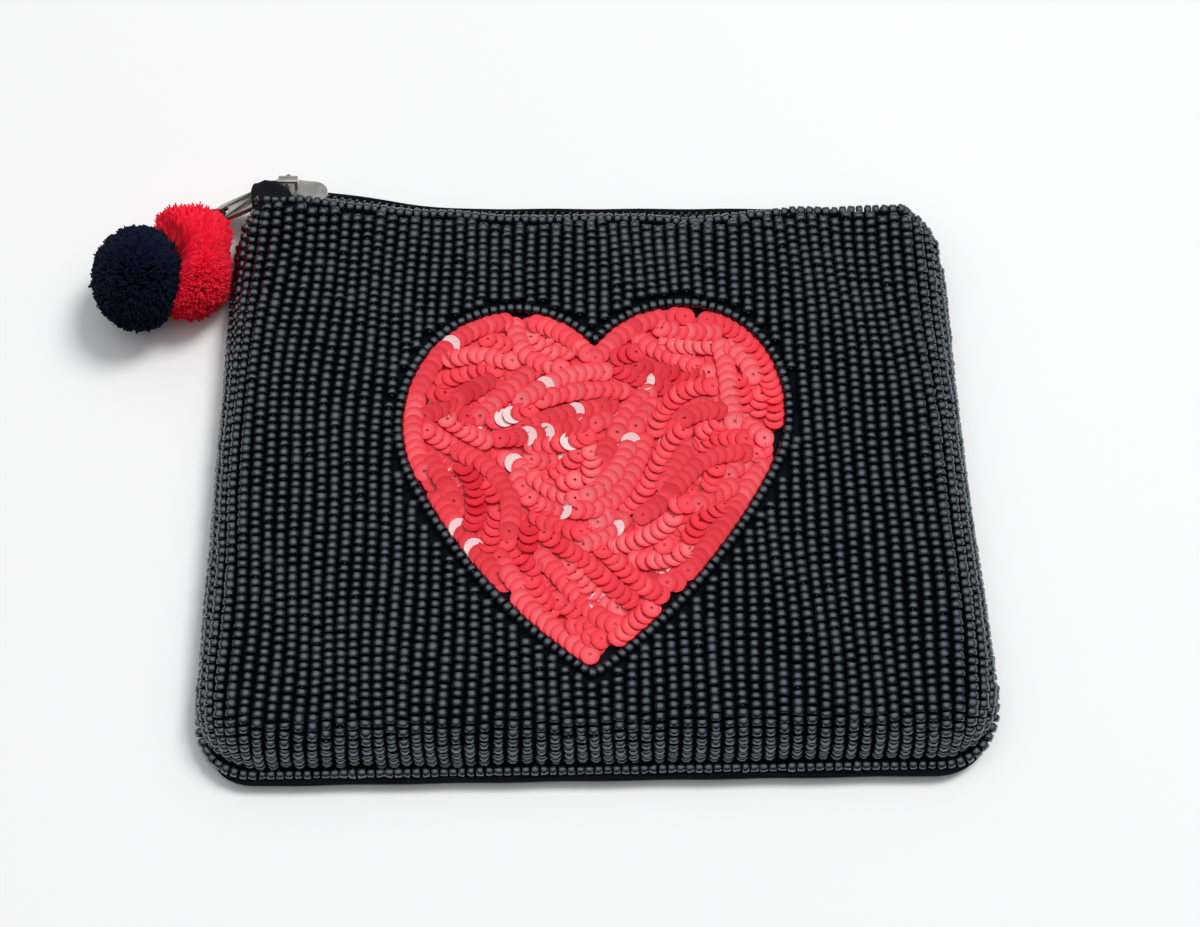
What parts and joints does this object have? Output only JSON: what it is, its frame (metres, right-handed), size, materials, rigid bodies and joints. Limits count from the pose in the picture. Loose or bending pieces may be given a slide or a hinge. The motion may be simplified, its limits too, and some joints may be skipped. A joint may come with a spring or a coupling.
{
  "type": "zip coin purse",
  "caption": "Flat zip purse with a black beaded front, a red sequin heart, a metal zip slider with a pull tab, and red and black yarn pom-poms.",
  "frame": {"origin": "middle of the flat back that the purse lies on", "axes": "+X along the zip towards its right end, +Y up the front towards the zip, +Z out of the beaded front"},
  "size_m": [0.1538, 0.1066, 0.0152],
  "materials": {
    "black_cloth": "matte",
    "lining_cloth": "satin",
    "black_beads": "gloss",
    "red_sequins": "gloss",
    "zip_tape": "matte",
    "zip_coil": "satin",
    "nickel": "polished",
    "cord": "matte",
    "red_yarn": "matte",
    "black_yarn": "matte"
  },
  "bodies": {
    "pouch": {"back_panel": "black_cloth", "back_lining": "lining_cloth", "front_panel": "black_cloth", "front_lining": "lining_cloth", "bead_field": "black_beads", "heart_sequins": "red_sequins", "heart_bead_outline": "black_beads", "edge_bead_strand": "black_beads", "hem_bead_strand": "black_beads", "zip_tack_left": "zip_tape", "zip_tack_right": "zip_tape", "zip_end_left": "zip_tape", "zip_end_right": "zip_tape"},
    "front_stringer": {"zip_tape_front": "zip_tape", "zip_coil_front": "zip_coil"},
    "back_stringer": {"zip_tape_back": "zip_tape", "zip_coil_back": "zip_coil"},
    "slider": {"slider_body": "nickel", "slider_bail": "nickel"},
    "pull": {"pull_tab": "nickel", "pull_cord_loop": "cord"},
    "red_pom": {"red_pompom": "red_yarn", "red_pom_cord": "cord"},
    "black_pom": {"black_pompom": "black_yarn", "black_pom_cord": "cord"}
  },
  "joints": [
    {"name": "zip_slide", "type": "slide", "parent": "pouch", "child": "slider", "axis": [1, 0, 0], "range_m": [0, 0.1044]},
    {"name": "front_tape_fold", "type": "hinge", "parent": "pouch", "child": "front_stringer", "pos_m": [0, 0.04484, 0.00693], "axis": [1, 0, 0], "range_deg": [0, 40], "deforming": ["zip_tape_front", "zip_coil_front"]},
    {"name": "back_tape_fold", "type": "hinge", "parent": "pouch", "child": "back_stringer", "pos_m": [0, 0.053, 0.00363], "axis": [-1, 0, 0], "range_deg": [0, 50], "deforming": ["zip_tape_back", "zip_coil_back"]},
    {"name": "pull_swing", "type": "hinge", "parent": "slider", "child": "pull", "pos_m": [-0.0537, 0.05099, 0.00908], "axis": [0, 0.9272, -0.3746], "range_deg": [0, 194]},
    {"name": "red_pom_swing", "type": "hinge", "parent": "pull", "child": "red_pom", "pos_m": [-0.06849, 0.04793, 0.0015], "axis": [-1, 0, 0], "range_deg": [0, 45]},
    {"name": "black_pom_swing", "type": "hinge", "parent": "pull", "child": "black_pom", "pos_m": [-0.06849, 0.04793, 0.0015], "axis": [-1, 0, 0], "range_deg": [0, 45]}
  ],
  "couplings": [
    {"joint": "front_tape_fold", "follows": "zip_slide", "rad_per_m": 6.6854},
    {"joint": "back_tape_fold", "follows": "zip_slide", "rad_per_m": 8.3572},
    {"joint": "pull_swing", "follows": "zip_slide", "rad_per_m": 32.431}
  ]
}
